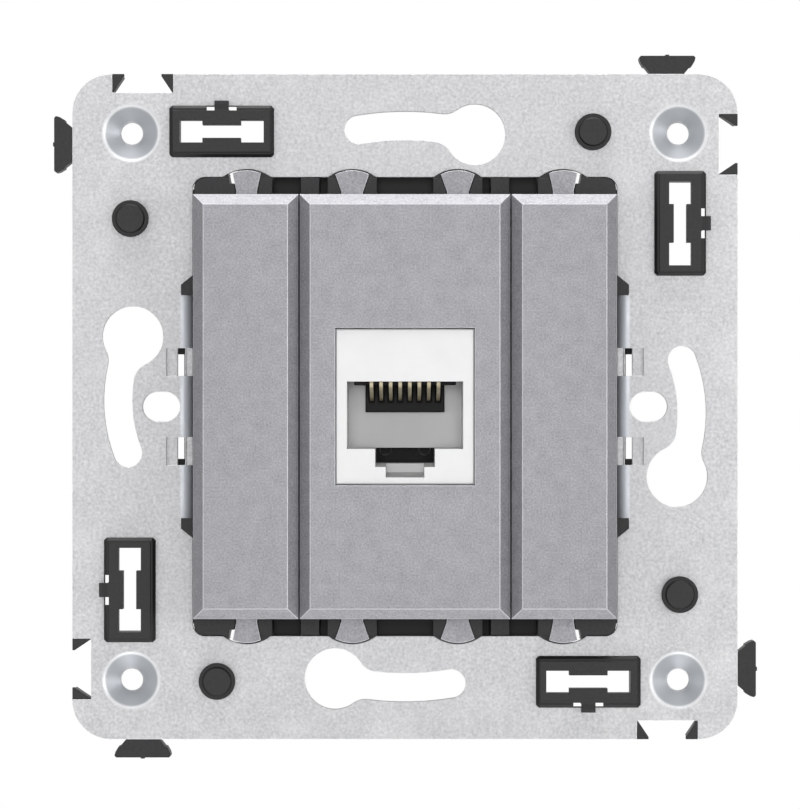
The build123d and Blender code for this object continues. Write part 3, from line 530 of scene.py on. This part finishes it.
def stand_up_and_close(tree, given, shape):
    """Turns a plan drawn in X and Y to the front view, and ends the tree."""
    stood = add(
        tree, "GeometryNodeTransform", {"Rotation": (math.pi / 2, 0.0, 0.0)}, Geometry=shape
    )
    real = add(tree, "GeometryNodeRealizeInstances", Geometry=stood.outputs["Geometry"])
    coated = add(
        tree, "GeometryNodeSetMaterial",
        Geometry=real.outputs["Geometry"], Material=given["Material"],
    )
    add(tree, "NodeGroupOutput", Geometry=coated.outputs["Geometry"])


def crown_tree():
    """Low crowns at the four quarter turns of one place, each a disc with a slanted edge."""
    tree, given = geometry_tree(
        "stake_crown_pattern",
        ["Circle Radius", "Start Turn", "Foot Radius", "Top Radius", "Height", "Level"],
    )
    crown = add(
        tree, "GeometryNodeMeshCone", {"Vertices": 64},
        Radius_Top=given["Top Radius"], Radius_Bottom=given["Foot Radius"], Depth=given["Height"],
    )
    places = add(tree, "GeometryNodeMeshCircle", {"Vertices": 4}, Radius=given["Circle Radius"])
    turn = add(tree, "ShaderNodeCombineXYZ", Z=given["Start Turn"])
    level = add(tree, "ShaderNodeCombineXYZ", Z=given["Level"])
    turned = add(
        tree, "GeometryNodeTransform", Geometry=places.outputs["Mesh"],
        Translation=level.outputs["Vector"], Rotation=turn.outputs["Vector"],
    )
    set_out = add(
        tree, "GeometryNodeInstanceOnPoints",
        Points=turned.outputs["Geometry"], Instance=crown.outputs["Mesh"],
    )
    stand_up_and_close(tree, given, set_out.outputs["Instances"])
    return tree


def ring_tree():
    """Two round witness lines of the mould, side by side, half the spacing from the middle each."""
    tree, given = geometry_tree(
        "mould_ring_pattern", ["Spacing", "Ring Radius", "Line Radius", "Up", "Level"]
    )
    ring = add(
        tree, "GeometryNodeCurvePrimitiveCircle", {"Resolution": 48}, Radius=given["Ring Radius"]
    )
    line = add(
        tree, "GeometryNodeCurvePrimitiveCircle", {"Resolution": 8}, Radius=given["Line Radius"]
    )
    raised = add(
        tree, "GeometryNodeCurveToMesh",
        Curve=ring.outputs["Curve"], Profile_Curve=line.outputs["Curve"],
    )
    half = add(tree, "ShaderNodeMath", {"operation": "MULTIPLY", 1: -0.5}, i0=given["Spacing"])
    start = add(tree, "ShaderNodeCombineXYZ", X=half.outputs[0], Y=given["Up"], Z=given["Level"])
    step = add(tree, "ShaderNodeCombineXYZ", X=given["Spacing"])
    places = add(
        tree, "GeometryNodeMeshLine", {"Count": 2},
        Start_Location=start.outputs["Vector"], Offset=step.outputs["Vector"],
    )
    set_out = add(
        tree, "GeometryNodeInstanceOnPoints",
        Points=places.outputs["Mesh"], Instance=raised.outputs["Mesh"],
    )
    stand_up_and_close(tree, given, set_out.outputs["Instances"])
    return tree


def made_piece(name, tree, sizes, material, body):
    """Plain mesh piece made by a geometry tree, riding on a body."""
    maker = new_object(name + "_maker", bpy.data.meshes.new(name + "_maker"))
    modifier = maker.modifiers.new("pattern", "NODES")
    modifier.node_group = tree
    for item in tree.interface.items_tree:
        if item.in_out == "INPUT":
            modifier[item.identifier] = material if item.name == "Material" else sizes[item.name]
    graph = bpy.context.evaluated_depsgraph_get()
    mesh = bpy.data.meshes.new_from_object(maker.evaluated_get(graph))
    mesh.name = name
    piece = new_object(name, mesh)
    bpy.data.objects.remove(maker)
    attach(piece, body)


made_piece(
    "stake_crowns", crown_tree(),
    {
        "Circle Radius": math.hypot(STAKE_ACROSS_MM, STAKE_UP_MM) * MM,
        "Start Turn": math.atan2(STAKE_UP_MM, STAKE_ACROSS_MM),
        "Foot Radius": CROWN_FOOT_RADIUS_MM * MM, "Top Radius": CROWN_TOP_RADIUS_MM * MM,
        "Height": CROWN_HEIGHT_MM * MM, "Level": -STAKE_HEAD_FRONT_MM * MM,
    },
    finishes["black_plastic"], "socket",
)
made_piece(
    "carrier_ring_marks", ring_tree(),
    {
        "Spacing": RING_SPACING_MM * MM, "Ring Radius": RING_RADIUS_MM * MM,
        "Line Radius": RING_LINE_RADIUS_MM * MM,
        "Up": RING_UP_MM * MM, "Level": -CARRIER_WALL_FRONT_MM * MM,
    },
    # Light grey base on the glossy rings: painted sheen.
    black_moulding("mould_ring_painted_sheen", "#646464", "#727272", 0.3),
    "socket",
)


# Light, floor and background

def white_to_camera(tree):
    """Share of the light paths that see plain white: from the camera, a mirror or a clear piece."""
    path = add(tree, "ShaderNodeLightPath").outputs
    seen = add(
        tree, "ShaderNodeMath", {"operation": "MAXIMUM"},
        i0=path["Is Camera Ray"], i1=path["Is Glossy Ray"],
    )
    shown = add(
        tree, "ShaderNodeMath", {"operation": "MAXIMUM"},
        i0=seen.outputs[0], i1=path["Is Transmission Ray"],
    )
    return shown.outputs[0]


def set_world():
    """Faint even light from all round, and a white background."""
    world = bpy.data.worlds.new("studio")
    bpy.context.scene.world = world
    tree = empty_tree(world)
    colour = hex_colour("#ffffff")
    ambient = add(tree, "ShaderNodeBackground", {"Color": colour, "Strength": AMBIENT_STRENGTH})
    white = add(tree, "ShaderNodeBackground", {"Color": colour, "Strength": 1.0})
    mix = add(
        tree, "ShaderNodeMixShader",
        i0=white_to_camera(tree), i1=ambient.outputs[0], i2=white.outputs[0],
    )
    add(tree, "ShaderNodeOutputWorld", Surface=mix.outputs[0])


def floor():
    """Pale floor below the part, white to the camera apart from a soft shadow."""
    level = low_corner.z - FLOOR_BELOW_PART
    sides = [(-1, -1), (1, -1), (1, 1), (-1, 1)]
    corners = [(x * FLOOR_REACH, y * FLOOR_REACH, level) for x, y in sides]
    mesh = bpy.data.meshes.new("studio_floor")
    mesh.from_pydata(corners, [], [(0, 1, 2, 3)])
    plane = new_object("studio_floor", mesh)
    material = bpy.data.materials.new("pale_floor")
    tree = empty_tree(material)
    matt = add(tree, "ShaderNodeBsdfDiffuse", {"Color": hex_colour("#f2f2f2")})
    glow = add(tree, "ShaderNodeEmission", {"Color": hex_colour("#ffffff"), "Strength": 1.0})
    share = add(
        tree, "ShaderNodeMath", {"operation": "MULTIPLY", 1: FLOOR_WHITE_SHARE},
        i0=white_to_camera(tree),
    )
    mix = add(
        tree, "ShaderNodeMixShader", i0=share.outputs[0], i1=matt.outputs[0], i2=glow.outputs[0]
    )
    add(tree, "ShaderNodeOutputMaterial", Surface=mix.outputs[0])
    mesh.materials.append(material)


def soft_lamp(name, place, width, height, watts):
    """Rectangular lamp aimed at the middle of the part."""
    lamp = bpy.data.lights.new(name, "AREA")
    lamp.shape = "RECTANGLE"
    lamp.size = width
    lamp.size_y = height
    lamp.energy = watts
    holder = new_object(name, lamp)
    holder.location = place
    holder.rotation_euler = (LAMP_AIM - Vector(place)).to_track_quat("-Z", "Y").to_euler()


def set_camera():
    """Camera straight in front, with the plate at the photograph's place and size."""
    data = bpy.data.cameras.new("camera")
    camera = new_object("camera", data)
    plate_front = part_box("support_frame")[0].y
    camera.location = (0, plate_front - CAMERA_DISTANCE_MM * MM, 0)
    camera.rotation_euler = (math.pi / 2, 0, 0)
    data.sensor_width = SENSOR_MM
    data.lens = SENSOR_MM * CAMERA_DISTANCE_MM * PIXELS_PER_MM / IMAGE_LONG_SIDE
    data.shift_x = -PLATE_CENTRE_RIGHT_PX / IMAGE_LONG_SIDE
    data.shift_y = PLATE_CENTRE_DOWN_PX / IMAGE_LONG_SIDE
    bpy.context.scene.camera = camera


set_world()
floor()
for lamp in SOFT_LAMPS:
    soft_lamp(*lamp)
set_camera()
bpy.context.scene.view_settings.view_transform = "Standard"
